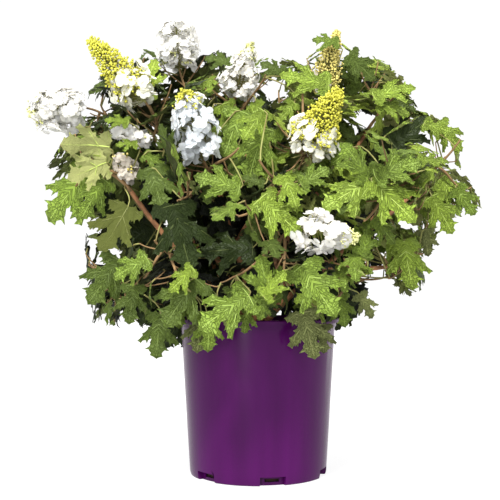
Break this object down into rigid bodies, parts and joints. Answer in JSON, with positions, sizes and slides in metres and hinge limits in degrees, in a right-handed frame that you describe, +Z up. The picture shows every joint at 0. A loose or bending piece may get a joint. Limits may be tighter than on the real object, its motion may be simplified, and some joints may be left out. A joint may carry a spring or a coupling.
{
  "type": "potted oakleaf hydrangea",
  "caption": "Flowering oakleaf hydrangea shrub with lobed leaves and cone-shaped white panicles, rising from soil in a round purple nursery pot with drain notches.",
  "frame": {"origin": "middle of the pot's flat underside", "axes": "+Z up along the pot's axis; the side that the picture shows faces -Y, with its right-hand side at +X"},
  "size_m": [0.722, 0.6069, 0.774],
  "materials": {
    "pot_plastic": "semi-gloss purple",
    "soil": "dull dark bark mix",
    "bark": "matt tan bark",
    "foliage": "matt green leaf",
    "blossom": "matt white petal"
  },
  "bodies": {
    "root": {"pot": "pot_plastic", "soil": "soil", "stem_base": "bark", "cane_left": "bark", "cane_upper_left": "bark", "cane_centre": "bark", "cane_top": "bark", "cane_upper_right": "bark", "cane_right": "bark", "cane_front": "bark", "cane_back_left": "bark", "cane_back_right": "bark", "cane_back": "bark", "bough_left_low": "bark", "bough_front_left": "bark", "bough_left_high": "bark", "bough_top_left": "bark", "bough_front_centre": "bark", "bough_right_top": "bark", "bough_right_tip": "bark", "bough_right_low": "bark", "bough_front_right": "bark", "bough_back_left_low": "bark", "bough_back_right_low": "bark", "bough_back_top": "bark", "bough_back_low": "bark", "leaves_left": "foliage", "leaves_left_low": "foliage", "leaves_front_left": "foliage", "leaves_upper_left": "foliage", "leaves_left_high": "foliage", "leaves_top_left": "foliage", "leaves_centre": "foliage", "leaves_front_centre": "foliage", "leaves_top": "foliage", "leaves_upper_right": "foliage", "leaves_right_top": "foliage", "leaves_right": "foliage", "leaves_right_tip": "foliage", "leaves_right_low": "foliage", "leaves_front": "foliage", "leaves_front_right": "foliage", "leaves_back_left": "foliage", "leaves_back_left_low": "foliage", "leaves_back_right": "foliage", "leaves_back_right_low": "foliage", "leaves_back": "foliage", "leaves_back_top": "foliage", "leaves_back_low": "foliage"}
  },
  "joints": []
}
